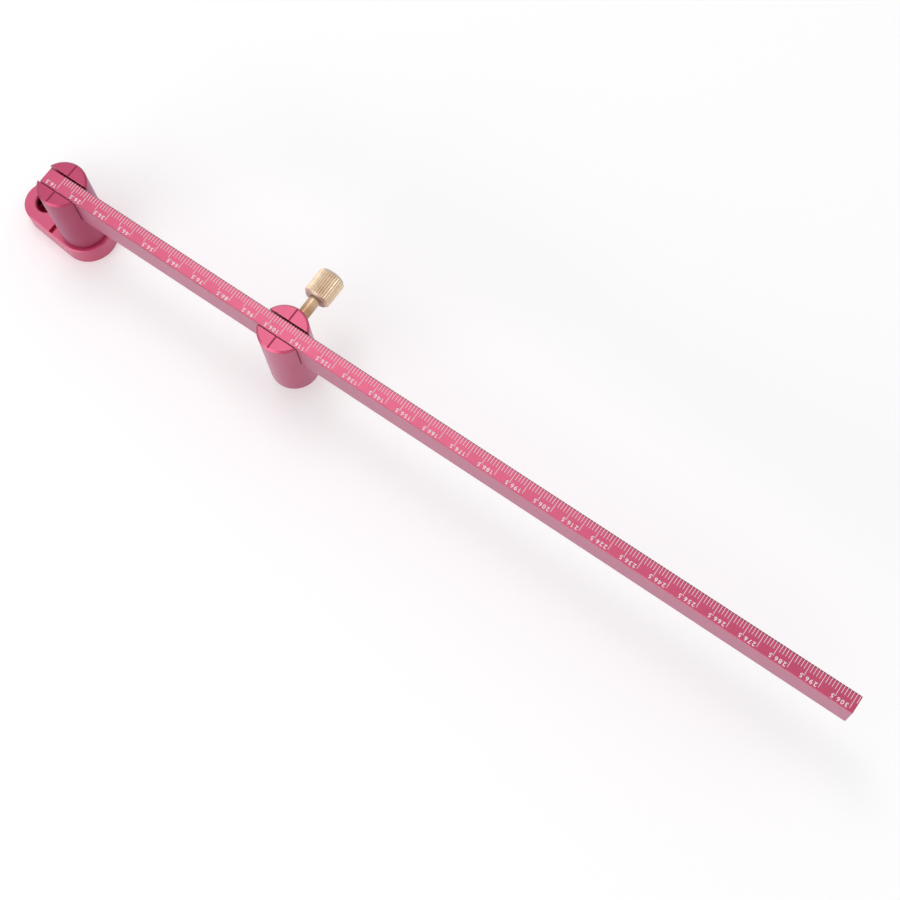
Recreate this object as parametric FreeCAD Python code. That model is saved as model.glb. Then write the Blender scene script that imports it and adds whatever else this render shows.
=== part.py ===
import FreeCAD, Part
import math
import os

# Beam compass: a scaled beam fixed in a pencil head, and a centre head that slides along it.
# The origin is on the pencil bore's axis, at the foot's underside. +X runs along the beam,
# +Y points to the side of the thumb screw, +Z up. All sizes are in millimetres.
# The scale reads the radius from a clamped pencil to the index line of the centre head.

# Beam: a flat bar on edge, its top flush with the heads
beam_w = 5.8
beam_h = 12.0
beam_setback = 1.75           # held end, inside the pencil head's round side
beam_end_reading = 308.0      # scale reading at the free end
beam_break = 0.2              # break on every edge of the bar

# Heads: two equal slotted cylinders
head_d = 16.5
head_h = 30.0
rim_chamfer = 0.7
base_break = 0.3              # break round the underside
pencil_head_reading = 16.5    # scale reading at the index line
centre_head_reading = 106.0
index_w = 0.6                 # V groove across the top of each head
index_depth = 0.3
slot_break = 0.15             # break on the slot's upper edges
screw_drop = 6.7              # axes of the screws that press on the beam, below the heads' top

# Clearances
slot_gap_near = 0.15          # beam to slot wall, on the side that the screws press it towards
slot_gap_far = 0.55           # beam to slot wall, on the screws' side
slot_gap_floor = 0.05         # beam to slot floor
thread_clearance = 0.05       # screw to tapped hole, on the radius
hole_clearance = 0.2          # screw shank to plain hole, on the radius
pin_clearance = 0.03          # centre pin to its bore, on the radius
seat_gap = 0.03               # between pieces that press lightly on one another

# Foot: a tapered plate, rounded about the pencil bore at one end and the head at the other
foot_t = 7.5
foot_wall = 3.95              # outside the pencil bore
foot_margin = 1.25            # outside the head
foot_break = 0.4
bore_d = 7.8                  # pencil bore
bore_lead_in = 0.4            # chamfer at its upper mouth
pencil_flats = 7.0            # pencil that the scale is made for, pressed towards the head
pocket_x = 8.45               # narrow pocket across the foot, from the bore's axis
pocket_w = 1.6
pocket_depth = 1.8
pocket_wall = 0.4             # what is left between the pocket's ends and the foot's sides

# Foot screws: two countersunk screws from below, on a line across the beam
foot_screw_d = 3.0
foot_screw_pitch = 0.5
foot_screw_spacing = 9.0
foot_screw_head_d = 5.6
foot_screw_rim = 0.2          # straight edge of the countersunk head
foot_screw_sunk = 0.2         # head below the foot's underside
foot_screw_l = 12.0
foot_screw_drill = 1.0        # hole beyond the screw's end
foot_screw_key = 2.0          # hexagon socket, across the flats
foot_screw_key_depth = 1.2

# Set screws with hexagon sockets: the beam's and the pencil's, then the smaller one of the pin
set_screw_d = 4.0
set_screw_pitch = 0.7
set_screw_key = 2.0
set_screw_key_depth = 2.0
set_screw_recess = 0.55       # outer end below the head's surface
pencil_screw_back = 0.3       # tip behind the bore's wall
pencil_screw_recess = 0.15    # outer end inside the foot's end
pin_screw_d = 3.0
pin_screw_pitch = 0.5
pin_screw_key = 1.5
pin_screw_key_depth = 1.5
pin_screw_recess = 0.7
pin_screw_z = 4.0             # above the centre head's underside

# Centre pin: a needle drawn up inside the centre head
pin_d = 3.0
pin_point_l = 5.0
pin_point_flat = 0.1          # radius of the blunted point
pin_top_gap = 0.5             # pin's upper end to the slot floor
pin_tip_recess = 0.3          # point above the head's underside

# Thumb screw, turned in one piece, and the pad that it presses on the beam
thumb_d = 4.0
thumb_pitch = 0.7
thumb_shank_l = 7.0           # bare shank between the head and the knob
thumb_thread_out = 0.5        # thread that shows outside the head
knob_d = 9.3
knob_l = 9.8
knob_chamfer = 1.0
knurl_teeth = 32
knurl_depth = 0.4
pad_d = 3.6
pad_t = 1.5

thread_depth = 0.6            # depth of a thread groove, as a share of its pitch
tip_chamfer = 0.4             # at each end of a screw

# Levels and places that follow
head_r = head_d / 2
bore_r = bore_d / 2
scale_zero_x = (bore_d - pencil_flats) / 2
pencil_head_x = scale_zero_x + pencil_head_reading
centre_head_x = scale_zero_x + centre_head_reading
beam_start_x = pencil_head_x - head_r + beam_setback
beam_end_x = scale_zero_x + beam_end_reading
foot_pencil_r = bore_r + foot_wall
foot_head_r = head_r + foot_margin
head_z = foot_t
head_top = head_z + head_h
beam_z = head_top - beam_h
slot_floor = beam_z - slot_gap_floor
slot_w = slot_gap_near + beam_w + slot_gap_far
beam_far_y = slot_w / 2 - slot_gap_far
beam_near_y = -slot_w / 2 + slot_gap_near
screw_z = head_top - screw_drop

X = FreeCAD.Vector(1, 0, 0)
Y = FreeCAD.Vector(0, 1, 0)
Z = FreeCAD.Vector(0, 0, 1)


def point(x, y, z):
    return FreeCAD.Vector(x, y, z)


def cylinder(radius, length, base, axis):
    return Part.makeCylinder(radius, length, base, axis)


def polygon_face(points):
    return Part.Face(Part.makePolygon(points + points[:1]))


def turned(profile, base, axis):
    """Solid of revolution; the profile is pairs of radius and distance along the axis."""
    face = polygon_face([point(radius, 0, along) for radius, along in profile])
    solid = face.revolve(point(0, 0, 0), Z, 360)
    solid.Placement = FreeCAD.Placement(base, FreeCAD.Rotation(Z, axis))
    return solid


def hexagon(across_flats, length, base, axis):
    corner = across_flats / math.sqrt(3)
    turns = [math.radians(60 * i) for i in range(6)]
    face = polygon_face([point(corner * math.cos(a), corner * math.sin(a), 0) for a in turns])
    solid = face.extrude(point(0, 0, length))
    solid.Placement = FreeCAD.Placement(base, FreeCAD.Rotation(Z, axis))
    return solid


def thread_rings(radius, pitch, start, end):
    """Profile of a thread drawn as closed rings, from start to end along the axis."""
    groove = radius - thread_depth * pitch
    points = []
    for i in range(int((end - start) / pitch)):
        ring = start + i * pitch
        points += [(radius, ring), (radius, ring + pitch / 4), (groove, ring + pitch * 5 / 8)]
    points.append((radius, points[-1][1] + pitch * 3 / 8))
    return points


def set_screw(diameter, pitch, length, key, key_depth, tip, axis):
    """Set screw with its tip at the given point; the axis runs from the tip to the socket."""
    radius = diameter / 2
    end_r = radius - tip_chamfer
    profile = [(0, 0), (end_r, 0)]
    profile += thread_rings(radius, pitch, tip_chamfer, length - tip_chamfer)
    profile += [(end_r, length), (0, length)]
    socket = hexagon(key, key_depth, tip + axis * (length - key_depth), axis)
    return turned(profile, tip, axis).cut(socket)


def beam():
    corner = point(beam_start_x, beam_near_y, beam_z)
    bar = Part.makeBox(beam_end_x - beam_start_x, beam_w, beam_h, corner)
    return bar.makeChamfer(beam_break, bar.Edges)


def head(x):
    """Slotted cylinder with its index line, its axis at the given x."""
    blank = turned([(0, 0), (head_r - base_break, 0), (head_r, base_break),
                    (head_r, head_h - rim_chamfer), (head_r - rim_chamfer, head_h), (0, head_h)],
                   point(x, 0, head_z), Z)
    return blank.cut(beam_slot(x)).cut(index_groove(x))


def beam_slot(x):
    side = slot_w / 2
    mouth = side + slot_break
    above = head_top + 1
    corners = [(-side, slot_floor), (-side, head_top - slot_break), (-mouth, head_top), (-mouth, above),
               (mouth, above), (mouth, head_top), (side, head_top - slot_break), (side, slot_floor)]
    face = polygon_face([point(x - head_d, y, z) for y, z in corners])
    return face.extrude(X * 2 * head_d)


def index_groove(x):
    corners = [point(x - index_w / 2, -head_d, head_top), point(x, -head_d, head_top - index_depth),
               point(x + index_w / 2, -head_d, head_top)]
    return polygon_face(corners).extrude(Y * 2 * head_d)


def tapped_hole_far(x, z, diameter):
    """Tapped hole from a head's axis out through its far side."""
    return cylinder(diameter / 2 + thread_clearance, head_d, point(x, 0, z), Y)


def foot_screw_places():
    return [point(pencil_head_x, side * foot_screw_spacing / 2, 0) for side in (-1, 1)]


def pencil_head():
    solid = head(pencil_head_x).cut(tapped_hole_far(pencil_head_x, screw_z, set_screw_d))
    depth = foot_screw_sunk + foot_screw_l + foot_screw_drill
    for place in foot_screw_places():
        solid = solid.cut(cylinder(foot_screw_d / 2 + thread_clearance, depth, place, Z))
    return solid


def centre_head():
    solid = head(centre_head_x).cut(tapped_hole_far(centre_head_x, screw_z, thumb_d))
    solid = solid.cut(cylinder(pin_d / 2 + pin_clearance, slot_floor, point(centre_head_x, 0, 0), Z))
    return solid.cut(tapped_hole_far(centre_head_x, head_z + pin_screw_z, pin_screw_d))


def foot_taper():
    """Direction of the foot's side walls, as the angle of their outward normal from +X."""
    return math.acos((foot_pencil_r - foot_head_r) / pencil_head_x)


def foot_half_width(x):
    normal = foot_taper()
    return (foot_pencil_r - x * math.cos(normal)) / math.sin(normal)


def foot_blank():
    normal = foot_taper()

    def rim(centre_x, radius, angle):
        return point(centre_x + radius * math.cos(angle), radius * math.sin(angle), 0)

    left = [rim(0, foot_pencil_r, a) for a in (normal, math.pi, -normal)]
    right = [rim(pencil_head_x, foot_head_r, a) for a in (-normal, 0, normal)]
    outline = Part.Wire([Part.Arc(*left).toShape(), Part.LineSegment(left[2], right[0]).toShape(),
                         Part.Arc(*right).toShape(), Part.LineSegment(right[2], left[0]).toShape()])
    plate = Part.Face(outline).extrude(Z * foot_t)
    upper = [edge for edge in plate.Edges if edge.BoundBox.ZMin > foot_t / 2]
    return plate.makeChamfer(foot_break, upper)


def pencil_bore():
    straight = cylinder(bore_r, foot_t + 2, point(0, 0, -1), Z)
    mouth = turned([(0, 0), (bore_r, 0), (bore_r + bore_lead_in, bore_lead_in), (0, bore_lead_in)],
                   point(0, 0, foot_t - bore_lead_in), Z)
    return straight.fuse(mouth)


def waist_pocket():
    half_length = foot_half_width(pocket_x) - pocket_wall
    return Part.makeBox(pocket_w, 2 * half_length, pocket_depth,
                        point(pocket_x - pocket_w / 2, -half_length, foot_t - pocket_depth))


def countersink(place):
    """Seat of a foot screw: the recess, the cone of its head and the plain hole above."""
    head_radius = foot_screw_head_d / 2
    hole_radius = foot_screw_d / 2 + hole_clearance
    rim_top = foot_screw_sunk + foot_screw_rim + seat_gap
    cone_top = rim_top + head_radius - hole_radius
    return turned([(0, -1), (head_radius, -1), (head_radius, rim_top), (hole_radius, cone_top),
                   (hole_radius, foot_t + 1), (0, foot_t + 1)], place, Z)


def pencil_foot():
    screw_hole = cylinder(set_screw_d / 2 + thread_clearance, 2 * foot_pencil_r,
                          point(-2 * foot_pencil_r, 0, foot_t / 2), X)
    solid = foot_blank().cut(pencil_bore()).cut(screw_hole).cut(waist_pocket())
    for place in foot_screw_places():
        solid = solid.cut(countersink(place))
    return solid


def foot_screw(place):
    """Countersunk screw, its head's face at foot_screw_sunk above the given place."""
    radius = foot_screw_d / 2
    head_radius = foot_screw_head_d / 2
    cone_top = foot_screw_rim + head_radius - radius
    profile = [(0, 0), (head_radius, 0), (head_radius, foot_screw_rim), (radius, cone_top)]
    profile += thread_rings(radius, foot_screw_pitch, foot_t, foot_screw_l - tip_chamfer)
    profile += [(radius - tip_chamfer, foot_screw_l), (0, foot_screw_l)]
    base = place + Z * foot_screw_sunk
    return turned(profile, base, Z).cut(hexagon(foot_screw_key, foot_screw_key_depth, base, Z))


def foot_screws():
    return Part.makeCompound([foot_screw(place) for place in foot_screw_places()])


def beam_set_screw():
    length = head_r - set_screw_recess - beam_far_y
    tip = point(pencil_head_x, beam_far_y, screw_z)
    return set_screw(set_screw_d, set_screw_pitch, length, set_screw_key, set_screw_key_depth, tip, Y)


def pencil_clamp_screw():
    outer_x = -foot_pencil_r + pencil_screw_recess
    tip_x = -bore_r - pencil_screw_back
    tip = point(tip_x, 0, foot_t / 2)
    return set_screw(set_screw_d, set_screw_pitch, tip_x - outer_x, set_screw_key, set_screw_key_depth,
                     tip, X * -1)


def pin_set_screw():
    tip_y = pin_d / 2 + seat_gap
    tip = point(centre_head_x, tip_y, head_z + pin_screw_z)
    length = head_r - pin_screw_recess - tip_y
    return set_screw(pin_screw_d, pin_screw_pitch, length, pin_screw_key, pin_screw_key_depth, tip, Y)


def centre_pin():
    radius = pin_d / 2
    tip_z = head_z + pin_tip_recess
    length = slot_floor - pin_top_gap - tip_z
    return turned([(0, 0), (pin_point_flat, 0), (radius, pin_point_l), (radius, length - tip_chamfer),
                   (radius - tip_chamfer, length), (0, length)], point(centre_head_x, 0, tip_z), Z)


def pad_start():
    return beam_far_y + seat_gap


def thumb_tip():
    return pad_start() + pad_t + seat_gap


def pressure_pad():
    return cylinder(pad_d / 2, pad_t, point(centre_head_x, pad_start(), screw_z), Y)


def knurled_knob(base):
    """Knob with a straight knurl: a toothed prism trimmed by a cylinder with chamfered ends."""
    outer = knob_d / 2
    corners = []
    for i in range(2 * knurl_teeth):
        angle = math.pi * i / knurl_teeth
        radius = outer if i % 2 == 0 else outer - knurl_depth
        corners.append(point(radius * math.cos(angle), radius * math.sin(angle), 0))
    prism = polygon_face(corners).extrude(Z * knob_l)
    prism.Placement = FreeCAD.Placement(base, FreeCAD.Rotation(Z, Y))
    small = outer - knob_chamfer
    limits = turned([(0, 0), (small, 0), (outer, knob_chamfer), (outer, knob_l - knob_chamfer),
                     (small, knob_l), (0, knob_l)], base, Y)
    return prism.common(limits)


def thumb_screw():
    radius = thumb_d / 2
    thread_end = head_r + thumb_thread_out - thumb_tip()
    knob_start = head_r + thumb_shank_l - thumb_tip()
    tip = point(centre_head_x, thumb_tip(), screw_z)
    profile = [(0, 0), (radius - tip_chamfer, 0)]
    profile += thread_rings(radius, thumb_pitch, tip_chamfer, thread_end)
    profile += [(radius, knob_start + 1), (0, knob_start + 1)]
    return turned(profile, tip, Y).fuse(knurled_knob(tip + Y * knob_start))


nodes = {
    "beam": beam,
    "pencil_head": pencil_head,
    "pencil_foot": pencil_foot,
    "foot_screws": foot_screws,
    "beam_set_screw": beam_set_screw,
    "pencil_clamp_screw": pencil_clamp_screw,
    "centre_head": centre_head,
    "centre_pin": centre_pin,
    "pin_set_screw": pin_set_screw,
    "thumb_screw": thumb_screw,
    "pressure_pad": pressure_pad,
}

os.makedirs("parts", exist_ok=True)
for name, build in nodes.items():
    shape = build()
    shape.exportStep("parts/" + name + ".step")
    print(name, "solids", len(shape.Solids), "valid", shape.isValid(), "volume", round(shape.Volume, 2))
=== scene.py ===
import math

import bmesh
import bpy
from mathutils import Euler, Matrix, Vector


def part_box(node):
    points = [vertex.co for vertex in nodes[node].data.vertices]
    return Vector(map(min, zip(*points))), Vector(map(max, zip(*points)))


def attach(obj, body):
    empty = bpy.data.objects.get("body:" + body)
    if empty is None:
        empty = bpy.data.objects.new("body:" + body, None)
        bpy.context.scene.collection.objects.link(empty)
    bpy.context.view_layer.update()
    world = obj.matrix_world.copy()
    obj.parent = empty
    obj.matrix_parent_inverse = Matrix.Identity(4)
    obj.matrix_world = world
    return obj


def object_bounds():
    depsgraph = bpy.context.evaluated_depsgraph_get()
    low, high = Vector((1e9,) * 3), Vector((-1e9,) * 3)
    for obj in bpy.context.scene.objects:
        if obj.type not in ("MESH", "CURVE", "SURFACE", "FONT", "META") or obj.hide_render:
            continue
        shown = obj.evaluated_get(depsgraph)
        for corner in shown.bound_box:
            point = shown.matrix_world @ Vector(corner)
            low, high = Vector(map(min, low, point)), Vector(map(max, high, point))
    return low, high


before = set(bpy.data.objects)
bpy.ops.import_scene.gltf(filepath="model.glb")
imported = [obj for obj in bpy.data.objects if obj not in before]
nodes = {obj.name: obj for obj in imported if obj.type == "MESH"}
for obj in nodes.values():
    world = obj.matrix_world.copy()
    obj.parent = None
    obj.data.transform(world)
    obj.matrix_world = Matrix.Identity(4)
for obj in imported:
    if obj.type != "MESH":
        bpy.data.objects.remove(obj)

MM = 0.001
cad_box = [list(corner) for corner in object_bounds()]

# ---------------------------------------------------------------- the tool's places, all from the frame
beam_lo, beam_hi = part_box("beam")
head_lo, head_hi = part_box("pencil_head")
slider_lo, slider_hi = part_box("centre_head")
knob_lo, knob_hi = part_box("thumb_screw")
HEAD_X = (head_lo.x + head_hi.x) / 2
SLIDER_X = (slider_lo.x + slider_hi.x) / 2
SCREW_Z = (knob_lo.z + knob_hi.z) / 2

# ---------------------------------------------------------------- the scale on the beam's top
FIRST_READING = 16.5                 # in mm, on the pencil head's axis
LAST_READING = 307.5
SCALE_ZERO = HEAD_X - FIRST_READING * MM
LABELLED = 10                        # every tenth mark has its number
TICK_LENGTHS = {LABELLED: 4.85 * MM, 5: 3.75 * MM, 1: 2.55 * MM}
TICK_WIDTH = 0.17 * MM
BEAM_BREAK = 0.2 * MM                # the bevel that breaks the beam's edges
BREAK_TURN = math.radians(45.0)
ETCH_DEPTH = 0.035 * MM
ETCH_OVER = 0.3 * MM                 # how far the cutters stand out of the beam
WELD = 1e-7                          # points nearer than this are joined before the cut
DIGIT_HEIGHT = 1.34 * MM
DIGIT_ASPECT = 1.05                  # width against the font's own
DIGIT_BASELINE_Y = -1.22 * MM
FIRST_DIGIT = 1.09 * MM              # from its tick to the first digit's middle
DIGIT_STEP = 1.33 * MM
POINT_STEP = 1.16 * MM               # last whole digit to the decimal point
TENTH_STEP = 0.71 * MM               # decimal point to the tenths digit
CURVE_STEPS = 4                      # in each of the font's curves
STROKE_GROWTH = 0.022
DRAWN_DIGITS = {                     # corners in ems
    "1": [[(-0.17, 0.50), (-0.17, 0.62), (0.0, 0.70), (0.11, 0.70), (0.11, 0.0), (-0.01, 0.0), (-0.01, 0.57)]],
    "4": [[(0.08, 0.0), (0.20, 0.0), (0.20, 0.14), (0.28, 0.15), (0.28, 0.26), (0.20, 0.27), (0.20, 0.70),
           (0.06, 0.70), (-0.27, 0.28), (-0.27, 0.16), (0.08, 0.145)],
          [(0.08, 0.275), (0.08, 0.54), (-0.14, 0.265)]],
}

# ---------------------------------------------------------------- noises and the marks that the tools left
# A noise is (scale per metre, detail, roughness). Its values gather about 0.5, in these stretches.
WIDE = (0.2, 0.8)
MIDDLE = (0.3, 0.7)
NARROW = (0.35, 0.65)
LINES = (1.0, 3.0, 0.6)              # a place already stretched to a line's width has the scale 1
DRAWN_LINES = (1.0, 4.0, 0.6)
GROUND_LINES = (1.0, 3.0, 0.65)
DRAWN_DENSITY = (18.0, 5200.0, 5200.0)   # lines per metre on each axis
MILLED_DENSITY = (900.0, 900.0, 4200.0)
GROUND_DENSITY = (200.0, 200.0, 9000.0)
TURNED_DENSITY = 3800.0
BRASS_DENSITY = 5200.0
EDGE_RAYS = 4
EDGE_FLAT = 0.995                    # how alike the true and the rounded normal are on a flat
SKY_RAYS = 8

# ---------------------------------------------------------------- rose anodised aluminium
ROSE_DEEP = (0.40, 0.034, 0.098)
ROSE = (0.50, 0.050, 0.128)
ROSE_LIGHT = (0.60, 0.085, 0.175)
ROSE_EDGE = (0.26, 0.018, 0.062)
# painted dark reflection: the near black of the beam's far break
ROSE_DARK_REFLECTION = (0.045, 0.004, 0.014)
ROSE_GAP_SHADE = (1.00, 0.015, 0.140)   # painted shade colour for the narrow gaps
ROSE_GLANCE = (0.78, 0.80, 1.00)     # what the metal gives at a glancing angle
ROSE_CLOUDS = (130.0, 3.0, 0.55)
ROSE_GRAIN = (9000.0, 3.0, 0.6)
ROSE_LINE_SHARE = 0.45               # of the dye's unevenness, the rest is cloudy
UNEVEN = (0.15, 0.85)
SPECKS = (0.60, 0.80)
SPECK_SHARE = 0.35
ROSE_EDGES = (0.12 * MM, 0.88)       # the rounding's radius, and how alike the normals are on the edge itself
EDGE_DARK_PATCHES = (1400.0, 3.0, 0.5)
EDGE_DARK_SHARE = (0.55, 0.85)            # how much darker the edges are, in patches
DARK_REFLECTION_SHARE = 0.9
# painted shade on the near break
NEAR_BREAK_SHADE_SHARE = 0.5
WORN_ROUGH = 0.25
ROSE_SMOOTHEST, ROSE_ROUGHEST = 0.36, 0.46
LINE_ROUGH = 0.03
SKIN_ROUGH = 0.26
SKIN_IOR = 1.55
BLAST_HEIGHT = 1.2e-6                # metres, as all the heights here
LINE_HEIGHT = 0.5e-6
BREAK_INNER = 2.2                    # the break's own dye fades from its inner edge to here, in breaks
BREAK_UNDER = 1.1                    # and it reaches this far down
NEAR_BREAK_END = 0.1                 # what is left of the near break's blasting and painted shade at the free end
TOP_FROM, TOP_WHOLE = 0.75, 0.95     # the tilts where a top's own finish and painted light begin, and where they are whole
GAP_REACH = 3.0 * MM
GAP_DEEP, GAP_OPEN = 0.06, 0.28      # the open share of the sky deep in a gap, and at its mouth
FACES_DOWN = -0.5                    # a face with a lower tilt looks down

# ---------------------------------------------------------------- the scale's white
ETCH_PINK = (0.80, 0.62, 0.67)
ETCH_WHITE = (0.96, 0.90, 0.92)
ETCH_GRAIN = (12000.0, 3.0, 0.6)
ETCH_ROUGH = (0.55, 0.75)
ETCH_HEIGHT = 4e-6

# ---------------------------------------------------------------- brass
BRASS_DULL = (0.78, 0.60, 0.43)
BRASS_CLEAN = (0.91, 0.75, 0.57)
# painted dark reflection on the shank near the head
BRASS_SHANK_REFLECTION = (0.36, 0.20, 0.10)
# painted shade on the knob's chamfers
BRASS_CHAMFER_SHADE = (0.48, 0.42, 0.40)
# painted shade in the knurl's grooves
BRASS_GROOVE_SHADE = (0.34, 0.24, 0.16)
BRASS_EDGE = (0.93, 0.82, 0.62)
BRASS_CLOUDS = (420.0, 4.0, 0.6)
BRASS_GRAIN = (14000.0, 2.0, 0.5)
BRASS_ROUGH = (0.30, 0.40)
BRASS_DULL_ROUGH = 0.06              # more where it is dull
KNOB_LENGTH = 9.8 * MM
KNOB_START = knob_hi.y - KNOB_LENGTH
KNOB_CHAMFER = 1.0 * MM
KNOB_MARGIN = 0.05 * MM
KNOB_ROUGH = 0.10                    # more than the shank
CHAMFER_SHADE_SHARE = 0.75
SHANK_DARK = 10.5 * MM               # the shank is painted darker from here back to the head, a painted dark reflection
SHANK_CLEAR = 15.0 * MM
SHANK_REFLECTION_MOST, SHANK_REFLECTION_LEAST = 0.9, 0.42
KNURL_REACH = 0.8 * MM
KNURL_DEEP, KNURL_OPEN = 0.55, 0.97  # the open share of the sky in the grooves, and on the ridges
KNURL_SHADE_SHARE = 0.72
BRASS_EDGES = (0.08 * MM, 0.6)
BRASS_EDGE_SHARE = 0.45
BRASS_LINE_HEIGHT = 1.0e-6

# ---------------------------------------------------------------- steel and nylon
OXIDE_BLACK = (0.035, 0.036, 0.040)
OXIDE_GREY = (0.075, 0.072, 0.070)
OXIDE_RUBBED = (0.26, 0.25, 0.24)
OXIDE_CLOUDS = (900.0, 4.0, 0.6)
OXIDE_GRAIN = (15000.0, 2.0, 0.5)
OXIDE_EDGES = (0.10 * MM, 0.55)
RUBBED = (0.4, 0.6)
RUBBED_SHARE = (0.1, 0.6)
OXIDE_METAL = 0.85
OXIDE_ROUGH = (0.34, 0.50)
OXIDE_HEIGHT = 1.5e-6
GROUND_GREY = (0.55, 0.55, 0.56)
GROUND_BRIGHT = (0.66, 0.66, 0.665)
GROUND_CLOUDS = (600.0, 3.0, 0.5)
GROUND_ROUGH = (0.16, 0.30)
GROUND_HEIGHT = 0.6e-6
NYLON_DULL = (0.80, 0.79, 0.74)
NYLON_PALE = (0.88, 0.87, 0.83)
NYLON_GRAIN = (7000.0, 3.0, 0.5)
NYLON_ROUGH = (0.42, 0.55)
NYLON_SINKS = 0.15                   # share of the light that goes into it
NYLON_DEPTH = 0.6 * MM
NYLON_HEIGHT = 2e-6

# ---------------------------------------------------------------- stage, lamps and camera
CARD_GREY = (0.90, 0.90, 0.905)
CARD_WHITE = (0.94, 0.94, 0.945)
CARD_FIBRE = (900.0, 4.0, 0.6)
CARD_ROUGH = 0.9
CARD_GLOSS = 0.1
BORE_FLOOR_SHADE = (0.28, 0.015, 0.03)     # painted shade: what shows of the floor inside the pencil bore is painted dark
LIFT_FROM = 4.5 * MM                 # the bore's painted shade ends here
LIFT_FULL = 6.0 * MM
FLOOR_LIFT = 0.17
FAR_FROM = 0.40                      # the lamps leave the far floor greyer, so it is lifted more
FAR_FULL = 1.10
FAR_LIFT = 0.20
FLOOR_HALF = 4.0
FLOOR_DROP = 0.02 * MM
WORLD_DIFFUSE = 0.72                 # the world's strength on surfaces
WORLD_SEEN = 1.0                     # and as the camera and mirrors see it
WHITE = (1.0, 1.0, 1.0)
LAMPS = (                            # name, place, aim, width, depth, radiance
    ("softbox", (-0.25, 0.30, 1.10), (0.10, 0.0, 0.0), 0.40, 0.60, 2.5),
    ("front_strip", (-0.15, -1.00, 0.33), (0.12, 0.0, 0.03), 1.10, 0.40, 3.0),
)
CAMERA_PLACE = (0.285756, -0.123441, 0.504529)
CAMERA_TURN = (19.80201, 3.39078, 35.63448)
CAMERA_LENS = 66.878
CAMERA_SENSOR = 36.0
CAMERA_SHIFT = (0.01889, -0.01444)
CAMERA_CLIP = (0.01, 50.0)


# ---------------------------------------------------------------- node graphs
def colour(rgb, shade=1.0):
    return (*(channel * shade for channel in rgb), 1.0)


class Graph:
    """The nodes of one tree. Each call adds a node and gives back its output."""

    def __init__(self, tree):
        self.tree = tree

    def add(self, kind, inputs=None, **settings):
        node = self.tree.nodes.new(kind)
        for key, value in settings.items():
            setattr(node, key, value)
        for key, value in (inputs or {}).items():
            self.feed(node.inputs[key], value)
        return node

    def feed(self, socket, value):
        if isinstance(value, bpy.types.NodeSocket):
            self.tree.links.new(value, socket)
        else:
            socket.default_value = value

    def math(self, operation, *values, clamp=False):
        inputs = dict(enumerate(values))
        return self.add("ShaderNodeMath", inputs, operation=operation, use_clamp=clamp).outputs[0]

    def vector(self, operation, *values):
        node = self.add("ShaderNodeVectorMath", dict(enumerate(values)), operation=operation)
        return node.outputs["Value" if operation in ("LENGTH", "DOT_PRODUCT") else "Vector"]

    def parts(self, vector):
        return self.add("ShaderNodeSeparateXYZ", {0: vector}).outputs

    def point(self, x, y):
        return self.add("ShaderNodeCombineXYZ", {0: x, 1: y}).outputs[0]

    def noise(self, place, scale, detail, roughness):
        inputs = {"Vector": place, "Scale": scale, "Detail": detail, "Roughness": roughness}
        return self.add("ShaderNodeTexNoise", inputs).outputs[0]

    def span(self, value, low, high, to_low=0.0, to_high=1.0):
        """value's stretch low..high becomes to_low..to_high."""
        return self.add("ShaderNodeMapRange", {0: value, 1: low, 2: high, 3: to_low, 4: to_high}).outputs[0]

    def mix(self, share, first, second):
        return self.add("ShaderNodeMix", {0: share, 6: first, 7: second}, data_type="RGBA").outputs[2]

    def scaled(self, rgb, factor):
        return self.add("ShaderNodeVectorMath", {0: rgb, 3: factor}, operation="SCALE").outputs[0]

    def bump(self, height, size, normal=None):
        inputs = {"Height": height, "Distance": size, "Strength": 1.0}
        if normal is not None:
            inputs["Normal"] = normal
        return self.add("ShaderNodeBump", inputs).outputs[0]

    def seen(self):
        """1 for the camera's own rays and for mirror-like ones, 0 for the light on surfaces."""
        path = self.add("ShaderNodeLightPath").outputs
        mirrored = self.math("MAXIMUM", path["Is Glossy Ray"], path["Is Transmission Ray"])
        return self.math("MAXIMUM", path["Is Camera Ray"], mirrored)


class Finish(Graph):
    """One material's nodes, around its Principled BSDF."""

    def __init__(self, name):
        self.material = bpy.data.materials.new(name)
        self.material.use_nodes = True
        super().__init__(self.material.node_tree)
        self.bsdf = self.tree.nodes["Principled BSDF"]
        self.output = self.tree.nodes["Material Output"]
        self.object = self.add("ShaderNodeTexCoord").outputs["Object"]

    def set(self, **values):
        for key, value in values.items():
            self.feed(self.bsdf.inputs[key.replace("_", " ")], value)

    def normal(self):
        return self.add("ShaderNodeNewGeometry").outputs["Normal"]

    def tilt(self):
        """1 where the surface looks up, and -1 where it looks down."""
        return self.parts(self.normal())[2]

    def open_sky(self, reach, only_local=False):
        """The share of the sky that nothing within reach hides."""
        settings = {"samples": SKY_RAYS, "only_local": only_local}
        return self.add("ShaderNodeAmbientOcclusion", {"Distance": reach}, **settings).outputs["AO"]

    def edges(self, radius, sharp):
        """(1 on sharp edges and 0 on flats, the normal with the edges rounded)."""
        rounded = self.add("ShaderNodeBevel", {"Radius": radius}, samples=EDGE_RAYS).outputs[0]
        alike = self.vector("DOT_PRODUCT", rounded, self.normal())
        return self.span(alike, sharp, EDGE_FLAT, 1.0, 0.0), rounded


# ---------------------------------------------------------------- the marks that the tools left
def rings(g, out, along, density):
    """Turning marks: rings up a round side, and rings about the middle on the flat ends."""
    return g.noise(g.point(g.math("MULTIPLY", out, density), g.math("MULTIPLY", along, density)), *LINES)


def turned_lines(g, x):
    """Rings about the upright axis at x."""
    moved = g.vector("SUBTRACT", g.object, (x, 0.0, 0.0))
    out = g.vector("LENGTH", g.vector("MULTIPLY", moved, (1.0, 1.0, 0.0)))
    return rings(g, out, g.parts(moved)[2], TURNED_DENSITY)


def head_lines(g):
    return turned_lines(g, HEAD_X)


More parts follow.
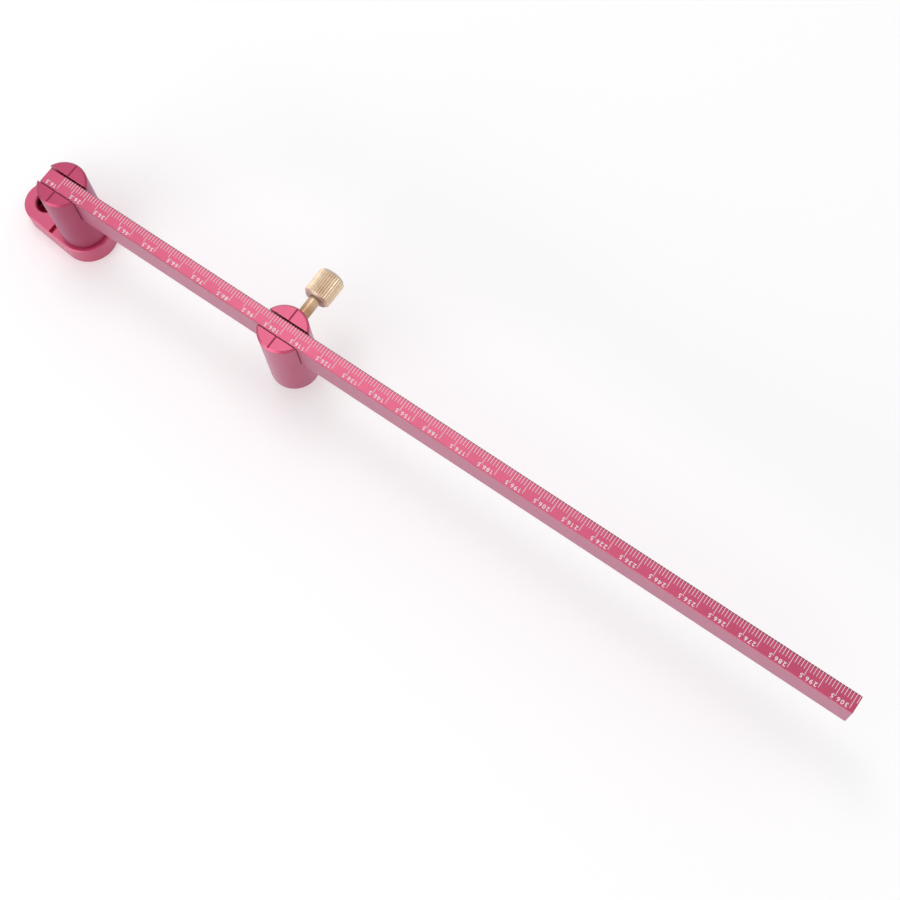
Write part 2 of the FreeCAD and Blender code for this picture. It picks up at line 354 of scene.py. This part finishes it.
def slider_lines(g):
    return turned_lines(g, SLIDER_X)


def beam_lines(g):
    """Drawing lines that run along the bar."""
    return g.noise(g.vector("MULTIPLY", g.object, DRAWN_DENSITY), *DRAWN_LINES)


def milled_lines(g):
    """The end mill's fine marks."""
    return g.noise(g.vector("MULTIPLY", g.object, MILLED_DENSITY), *LINES)


def top_break(g, edge, inward):
    """1 on the break along the beam's top edge at y = edge, fading out just inside it, and 0 elsewhere."""
    place = g.parts(g.object)
    beyond = g.span(place[1], edge + inward * BREAK_INNER * BEAM_BREAK, edge + inward * BEAM_BREAK)
    return g.math("MULTIPLY", beyond, g.math("GREATER_THAN", place[2], beam_hi.z - BREAK_UNDER * BEAM_BREAK))


def far_break_dark_reflection(g):
    """The far break, painted nearly black all along: a painted dark reflection."""
    return top_break(g, beam_hi.y, -1.0)


def near_break_dull_and_shaded(g):
    """The near break's blasting and its painted shade fade towards the free end."""
    left = g.span(g.parts(g.object)[0], beam_lo.x, beam_hi.x, 1.0, NEAR_BREAK_END)
    return g.math("MULTIPLY", top_break(g, beam_lo.y, 1.0), left)


# ---------------------------------------------------------------- materials
def painted_gap_shade(g):
    """Where the narrow gaps' shade is painted: 1 deep in the gaps, and 0 in the open and on the faces that
    look down.
    """
    deep = g.span(g.open_sky(GAP_REACH), GAP_DEEP, GAP_OPEN, 1.0, 0.0)
    return g.math("MULTIPLY", deep, g.math("GREATER_THAN", g.tilt(), FACES_DOWN))


def rose_anodised(name, lines, shade=1.0, metal=0.8, coarse=0.0, coat=0.7, dark_reflection=None, dullest_and_shaded=None,
                  top=None):
    """Dyed, blasted aluminium under its clear hard skin.

    The shade scales the dye, and a shade below 1 is painted shade, for a piece that stands in less light.
    Metal is how much of the light the aluminium under the dye gives back like a mirror, coarse adds to
    the roughness, and coat is the clear skin's share. It is darker along the edges, in patches, and the
    narrow gaps are painted a purer red, a painted shade colour. Where the share function for the dark
    reflection says so, it is nearly black, a painted dark reflection. Where the share function for the
    dulled and shaded break says so, the blasting has left it rougher and it is painted darker, a painted
    shade. A piece can give a top shade and metal for the faces that look up; there the lighter dye is
    painted light.
    """
    g = Finish(name)
    deep, plain, light, at_edge = (colour(dye, shade) for dye in (ROSE_DEEP, ROSE, ROSE_LIGHT, ROSE_EDGE))
    cloud = g.noise(g.object, *ROSE_CLOUDS)
    grain = g.noise(g.object, *ROSE_GRAIN)
    line = lines(g)
    uneven = g.math("ADD", g.math("MULTIPLY", cloud, 1.0 - ROSE_LINE_SHARE),
                    g.math("MULTIPLY", line, ROSE_LINE_SHARE))
    body = g.mix(g.span(uneven, *UNEVEN), deep, plain)
    body = g.mix(g.span(grain, *SPECKS, 0.0, SPECK_SHARE), body, light)
    edge, rounded = g.edges(*ROSE_EDGES)
    edge_darkening = g.span(g.noise(g.object, *EDGE_DARK_PATCHES), *NARROW, *EDGE_DARK_SHARE)
    body = g.mix(g.math("MULTIPLY", edge, edge_darkening), body, at_edge)

    grainy = g.span(grain, *WIDE, ROSE_SMOOTHEST + coarse, ROSE_ROUGHEST + coarse)
    rough = g.math("ADD", grainy, g.span(line, *MIDDLE, -LINE_ROUGH, LINE_ROUGH))
    # painted dark reflection, nearly black where that share says so
    if dark_reflection is not None:
        body = g.mix(g.math("MULTIPLY", dark_reflection(g), DARK_REFLECTION_SHARE), body, colour(ROSE_DARK_REFLECTION))
    if dullest_and_shaded is not None:
        # painted shade: where that share says so it is darker, and also rougher
        worn_and_shaded = dullest_and_shaded(g)
        body = g.mix(g.math("MULTIPLY", worn_and_shaded, NEAR_BREAK_SHADE_SHARE), body, at_edge)
        rough = g.math("ADD", rough, g.math("MULTIPLY", worn_and_shaded, WORN_ROUGH))
    if top is not None:
        top_painted_light, top_metal = top
        on_top = g.span(g.tilt(), TOP_FROM, TOP_WHOLE)
        # painted light: faces that look up get a lighter dye
        body = g.scaled(body, g.span(on_top, 0.0, 1.0, 1.0, top_painted_light / shade))
        metal = g.span(on_top, 0.0, 1.0, metal, top_metal)
    # painted shade colour: the narrow gaps turn a purer red
    body = g.mix(painted_gap_shade(g), body, colour(ROSE_GAP_SHADE))

    g.set(Base_Color=body, Metallic=metal, Specular_Tint=colour(ROSE_GLANCE), Roughness=rough)
    g.set(Coat_Weight=coat, Coat_Roughness=SKIN_ROUGH, Coat_IOR=SKIN_IOR)
    g.set(Normal=g.bump(line, LINE_HEIGHT, g.bump(grain, BLAST_HEIGHT, rounded)))
    return g.material


def etched_white():
    """Laser marks: the dye is burnt out and the skin left chalky."""
    g = Finish("etched_white")
    grain = g.noise(g.object, *ETCH_GRAIN)
    g.set(Base_Color=g.mix(g.span(grain, *MIDDLE), colour(ETCH_PINK), colour(ETCH_WHITE)))
    g.set(Roughness=g.span(grain, *MIDDLE, *ETCH_ROUGH), Metallic=0.0)
    g.set(Normal=g.bump(grain, ETCH_HEIGHT))
    return g.material


def brass():
    """Turned brass, a little dull, with painted shade in the knurl's grooves and on the knob's chamfers, and a
    painted dark reflection on the shank near the head.
    """
    g = Finish("brass")
    moved = g.vector("SUBTRACT", g.object, (SLIDER_X, 0.0, SCREW_Z))
    out = g.vector("LENGTH", g.vector("MULTIPLY", moved, (1.0, 0.0, 1.0)))
    along = g.parts(moved)[1]
    ring = rings(g, out, along, BRASS_DENSITY)
    cloud = g.noise(g.object, *BRASS_CLOUDS)
    grain = g.noise(g.object, *BRASS_GRAIN)
    body = g.mix(g.span(cloud, *NARROW), colour(BRASS_DULL), colour(BRASS_CLEAN))

    on_knob = g.math("GREATER_THAN", along, KNOB_START)
    # painted dark reflection: the shank darker towards the head
    shank_reflection = g.span(along, SHANK_DARK, SHANK_CLEAR, SHANK_REFLECTION_MOST, SHANK_REFLECTION_LEAST)
    body = g.mix(g.math("SUBTRACT", shank_reflection, on_knob, clamp=True), body, colour(BRASS_SHANK_REFLECTION))

    # painted shade: the knob's chamfers darker and greyer
    near_end = g.span(along, KNOB_START, KNOB_START + KNOB_CHAMFER, 1.0, 0.0)
    near_end = g.math("MULTIPLY", near_end, g.math("GREATER_THAN", along, KNOB_START - KNOB_MARGIN))
    far_end = g.math("GREATER_THAN", along, knob_hi.y - KNOB_CHAMFER)
    chamfer_shade = g.math("MULTIPLY", g.math("MAXIMUM", near_end, far_end), CHAMFER_SHADE_SHARE)
    body = g.mix(chamfer_shade, body, colour(BRASS_CHAMFER_SHADE))

    # painted shade: the knurl's grooves darker where occlusion finds them
    groove_shade = g.span(g.open_sky(KNURL_REACH, only_local=True), KNURL_DEEP, KNURL_OPEN, KNURL_SHADE_SHARE, 0.0)
    body = g.mix(groove_shade, body, colour(BRASS_GROOVE_SHADE))
    edge, rounded = g.edges(*BRASS_EDGES)
    g.set(Base_Color=g.mix(g.math("MULTIPLY", edge, BRASS_EDGE_SHARE), body, colour(BRASS_EDGE)), Metallic=1.0)

    rough = g.math("ADD", g.span(grain, *WIDE, *BRASS_ROUGH), g.span(cloud, *NARROW, BRASS_DULL_ROUGH, 0.0))
    g.set(Roughness=g.math("ADD", rough, g.math("MULTIPLY", on_knob, KNOB_ROUGH)))
    g.set(Normal=g.bump(ring, BRASS_LINE_HEIGHT, rounded))
    return g.material


def black_steel():
    """Black oxide on hardened screws, rubbed on the edges."""
    g = Finish("black_steel")
    cloud = g.noise(g.object, *OXIDE_CLOUDS)
    grain = g.noise(g.object, *OXIDE_GRAIN)
    edge, rounded = g.edges(*OXIDE_EDGES)
    rubbed = g.math("MULTIPLY", edge, g.span(cloud, *RUBBED, *RUBBED_SHARE))
    body = g.mix(cloud, colour(OXIDE_BLACK), colour(OXIDE_GREY))
    g.set(Base_Color=g.mix(rubbed, body, colour(OXIDE_RUBBED)))
    g.set(Metallic=OXIDE_METAL, Roughness=g.span(grain, *WIDE, *OXIDE_ROUGH))
    g.set(Normal=g.bump(grain, OXIDE_HEIGHT, rounded))
    return g.material


def hardened_steel():
    """The needle: ground all round, so its marks are rings."""
    g = Finish("hardened_steel")
    ring = g.noise(g.vector("MULTIPLY", g.object, GROUND_DENSITY), *GROUND_LINES)
    cloud = g.noise(g.object, *GROUND_CLOUDS)
    g.set(Base_Color=g.mix(g.span(cloud, *MIDDLE), colour(GROUND_GREY), colour(GROUND_BRIGHT)))
    g.set(Metallic=1.0, Roughness=g.span(ring, *MIDDLE, *GROUND_ROUGH), Normal=g.bump(ring, GROUND_HEIGHT))
    return g.material


def nylon():
    """The pressure pad's natural nylon."""
    g = Finish("nylon")
    grain = g.noise(g.object, *NYLON_GRAIN)
    g.set(Base_Color=g.mix(grain, colour(NYLON_DULL), colour(NYLON_PALE)))
    g.set(Roughness=g.span(grain, *MIDDLE, *NYLON_ROUGH))
    g.set(Subsurface_Weight=NYLON_SINKS, Subsurface_Scale=NYLON_DEPTH)
    g.set(Normal=g.bump(grain, NYLON_HEIGHT))
    return g.material


def wear(node, material):
    slots = nodes[node].data.materials
    slots.clear()
    slots.append(material)


# ---------------------------------------------------------------- the engraved scale
def tick_profile(length):
    """Corners (y, z) of the cut across the top, which follows the far edge's break."""
    top, far = beam_hi.z, beam_hi.y
    corner = ETCH_DEPTH * math.tan(BREAK_TURN / 2)
    return [(far - length, top + ETCH_OVER), (far - length, top - ETCH_DEPTH),
            (far - BEAM_BREAK - corner, top - ETCH_DEPTH),
            (far - ETCH_DEPTH, top - BEAM_BREAK - corner),
            (far + ETCH_OVER, top - BEAM_BREAK - corner), (far + ETCH_OVER, top + ETCH_OVER)]


def add_tick(bm, x, length):
    profile = tick_profile(length)
    near = [bm.verts.new((x - TICK_WIDTH / 2, y, z)) for y, z in profile]
    away = [bm.verts.new((x + TICK_WIDTH / 2, y, z)) for y, z in profile]
    bm.faces.new(near)
    bm.faces.new(list(reversed(away)))
    count = len(profile)
    for i in range(count):
        j = (i + 1) % count
        bm.faces.new((near[j], near[i], away[i], away[j]))


def drawn_glyph(outlines):
    """A flat curve through those corners, for the two digits that the plain font draws badly for cutting."""
    curve = bpy.data.curves.new("glyph", "CURVE")
    curve.dimensions = "2D"
    curve.fill_mode = "BOTH"
    for corners in outlines:
        line = curve.splines.new("POLY")
        line.points.add(len(corners) - 1)
        for point, (x, y) in zip(line.points, corners):
            point.co = (x, y, 0.0, 1.0)
        line.use_cyclic_u = True
    return curve


def font_glyph(character):
    curve = bpy.data.curves.new("glyph", "FONT")
    curve.body = character
    curve.size = 1.0
    curve.resolution_u = CURVE_STEPS
    curve.offset = STROKE_GROWTH
    return curve


def glyph_mesh(character):
    """A solid of one character, 1 unit to the em, its foot on y = 0."""
    curve = drawn_glyph(DRAWN_DIGITS[character]) if character in DRAWN_DIGITS else font_glyph(character)
    curve.extrude = 1.0
    holder = bpy.data.objects.new("glyph", curve)
    bpy.context.scene.collection.objects.link(holder)
    bpy.context.view_layer.update()
    mesh = bpy.data.meshes.new_from_object(holder.evaluated_get(bpy.context.evaluated_depsgraph_get()))
    bpy.data.objects.remove(holder)
    bpy.data.curves.remove(curve)
    return mesh


def glyph_box(mesh):
    """(leftmost x, rightmost x, highest y)."""
    xs = [v.co.x for v in mesh.vertices]
    return min(xs), max(xs), max(v.co.y for v in mesh.vertices)


def add_glyph(bm, mesh, x, scale):
    """The digits' tops point to the near edge, so a reader on the screw's side sees them upright."""
    left, right, _ = glyph_box(mesh)
    thick = (ETCH_DEPTH + ETCH_OVER) / 2
    place = Matrix.Translation((x, DIGIT_BASELINE_Y, beam_hi.z + ETCH_OVER - thick))
    turn = Matrix.Rotation(math.pi, 4, "Z")
    size = Matrix.Diagonal((scale * DIGIT_ASPECT, scale, thick, 1.0))
    centred = Matrix.Translation((-(left + right) / 2, 0.0, 0.0))
    start = len(bm.verts)
    bm.from_mesh(mesh)
    bm.verts.ensure_lookup_table()
    bmesh.ops.transform(bm, matrix=place @ turn @ size @ centred, verts=bm.verts[start:])


def label_places(text):
    """(character, distance from the tick) along the label."""
    places, at, after_point = [], FIRST_DIGIT, False
    for i, character in enumerate(text):
        if i:
            at += POINT_STEP if character == "." else TENTH_STEP if after_point else DIGIT_STEP
        after_point = character == "."
        places.append((character, at))
    return places


def scale_cutter():
    """Every mark of the scale as one solid to cut with."""
    glyphs = {c: glyph_mesh(c) for c in "0123456789."}
    scale = DIGIT_HEIGHT / glyph_box(glyphs["0"])[2]
    bm = bmesh.new()
    for step in range(round(LAST_READING - FIRST_READING) + 1):
        every = next(count for count in TICK_LENGTHS if step % count == 0)
        reading = FIRST_READING + step
        x = SCALE_ZERO + reading * MM
        add_tick(bm, x, TICK_LENGTHS[every])
        if every == LABELLED:
            for character, away in label_places(f"{reading:.1f}"):
                add_glyph(bm, glyphs[character], x - away, scale)
    bmesh.ops.remove_doubles(bm, verts=bm.verts, dist=WELD)
    bmesh.ops.recalc_face_normals(bm, faces=bm.faces)
    for face in bm.faces:
        face.smooth = False
    mesh = bpy.data.meshes.new("scale_cutter")
    bm.to_mesh(mesh)
    bm.free()
    return mesh


def engrave(white):
    """Cuts the scale into the beam, with the cuts' own white finish."""
    cutter = bpy.data.objects.new("scale_cutter", scale_cutter())
    cutter.data.materials.append(white)
    bpy.context.scene.collection.objects.link(cutter)
    cutter.hide_render = True
    cutter.hide_set(True)
    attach(cutter, "compass")
    beam = nodes["beam"]
    beam.modifiers.new("closed", "WELD").merge_threshold = WELD
    cut = beam.modifiers.new("scale", "BOOLEAN")
    cut.operation = "DIFFERENCE"
    cut.solver = "EXACT"
    cut.object = cutter
    cut.material_mode = "TRANSFER"


# ---------------------------------------------------------------- stage
def floor_card():
    """Matt white card, painted dark in a disc under the pencil bore, a painted shade. Camera and mirror-like
    rays see a little light added, so it shows as white paper.
    """
    g = Finish("floor_card")
    card = g.mix(g.noise(g.object, *CARD_FIBRE), colour(CARD_GREY), colour(CARD_WHITE))
    apart = g.vector("LENGTH", g.object)
    # painted shade under the pencil bore
    g.set(Base_Color=g.mix(g.span(apart, LIFT_FROM, LIFT_FULL), colour(BORE_FLOOR_SHADE), card))
    g.set(Roughness=CARD_ROUGH, Specular_IOR_Level=CARD_GLOSS)
    lift = g.math("ADD", g.span(apart, LIFT_FROM, LIFT_FULL, 0.0, FLOOR_LIFT),
                  g.span(apart, FAR_FROM, FAR_FULL, 0.0, FAR_LIFT))
    g.set(Emission_Color=colour(WHITE), Emission_Strength=g.math("MULTIPLY", g.seen(), lift))
    from_below = g.add("ShaderNodeNewGeometry").outputs["Backfacing"]
    clear = g.add("ShaderNodeBsdfTransparent").outputs[0]
    both = g.add("ShaderNodeMixShader", {0: from_below, 1: g.bsdf.outputs[0], 2: clear})
    g.feed(g.output.inputs["Surface"], both.outputs[0])
    return g.material


def make_floor():
    mesh = bpy.data.meshes.new("floor")
    h = FLOOR_HALF
    mesh.from_pydata([(-h, -h, 0), (h, -h, 0), (h, h, 0), (-h, h, 0)], [], [(0, 1, 2, 3)])
    floor = bpy.data.objects.new("floor", mesh)
    floor.location.z = cad_box[0][2] - FLOOR_DROP
    mesh.materials.append(floor_card())
    bpy.context.scene.collection.objects.link(floor)


def make_world():
    """An even white studio, dimmer for the light on surfaces than it looks."""
    world = bpy.data.worlds.new("studio")
    world.use_nodes = True
    g = Graph(world.node_tree)
    g.tree.nodes.clear()
    lighting, backdrop = (
        g.add("ShaderNodeBackground", {"Color": colour(WHITE), "Strength": strength}).outputs[0]
        for strength in (WORLD_DIFFUSE, WORLD_SEEN))
    sky = g.add("ShaderNodeMixShader", {0: g.seen(), 1: lighting, 2: backdrop}).outputs[0]
    g.add("ShaderNodeOutputWorld", {"Surface": sky})
    bpy.context.scene.world = world


def area_lamp(name, place, aim, width, depth, radiance):
    """A soft box of that radiance, facing its aim."""
    data = bpy.data.lights.new(name, "AREA")
    data.shape = "RECTANGLE"
    data.size, data.size_y = width, depth
    data.energy = radiance * math.pi * width * depth
    lamp = bpy.data.objects.new(name, data)
    lamp.location = place
    lamp.rotation_euler = (Vector(aim) - Vector(place)).to_track_quat("-Z", "Y").to_euler()
    bpy.context.scene.collection.objects.link(lamp)


def make_camera():
    data = bpy.data.cameras.new("camera")
    data.lens = CAMERA_LENS
    data.sensor_width = CAMERA_SENSOR
    data.shift_x, data.shift_y = CAMERA_SHIFT
    data.clip_start, data.clip_end = CAMERA_CLIP
    camera = bpy.data.objects.new("camera", data)
    camera.location = CAMERA_PLACE
    camera.rotation_euler = Euler([math.radians(a) for a in CAMERA_TURN], "XYZ")
    bpy.context.scene.collection.objects.link(camera)
    bpy.context.scene.camera = camera


# ---------------------------------------------------------------- build
# the beam: a painted dark reflection on the far break, and painted shade on the near break
wear("beam", rose_anodised("rose_beam", beam_lines, dark_reflection=far_break_dark_reflection, dullest_and_shaded=near_break_dull_and_shaded))
# painted shade: the pencil head's dye is scaled darker, as it stands in less light
wear("pencil_head", rose_anodised("rose_pencil_head_shaded", head_lines, shade=0.82, coat=0.35))
wear("centre_head", rose_anodised("rose_centre_head", slider_lines))
# painted light: the foot's top gets a lighter dye than its sides
wear("pencil_foot", rose_anodised("rose_foot", milled_lines, shade=1.18, metal=0.55, coarse=0.08,
                                  top=(1.34, 0.30)))
wear("thumb_screw", brass())
screw_finish = black_steel()
for screw in ("foot_screws", "beam_set_screw", "pencil_clamp_screw", "pin_set_screw"):
    wear(screw, screw_finish)
wear("centre_pin", hardened_steel())
wear("pressure_pad", nylon())
engrave(etched_white())
make_floor()
make_world()
for lamp in LAMPS:
    area_lamp(*lamp)
make_camera()
bpy.context.scene.view_settings.view_transform = "Standard"
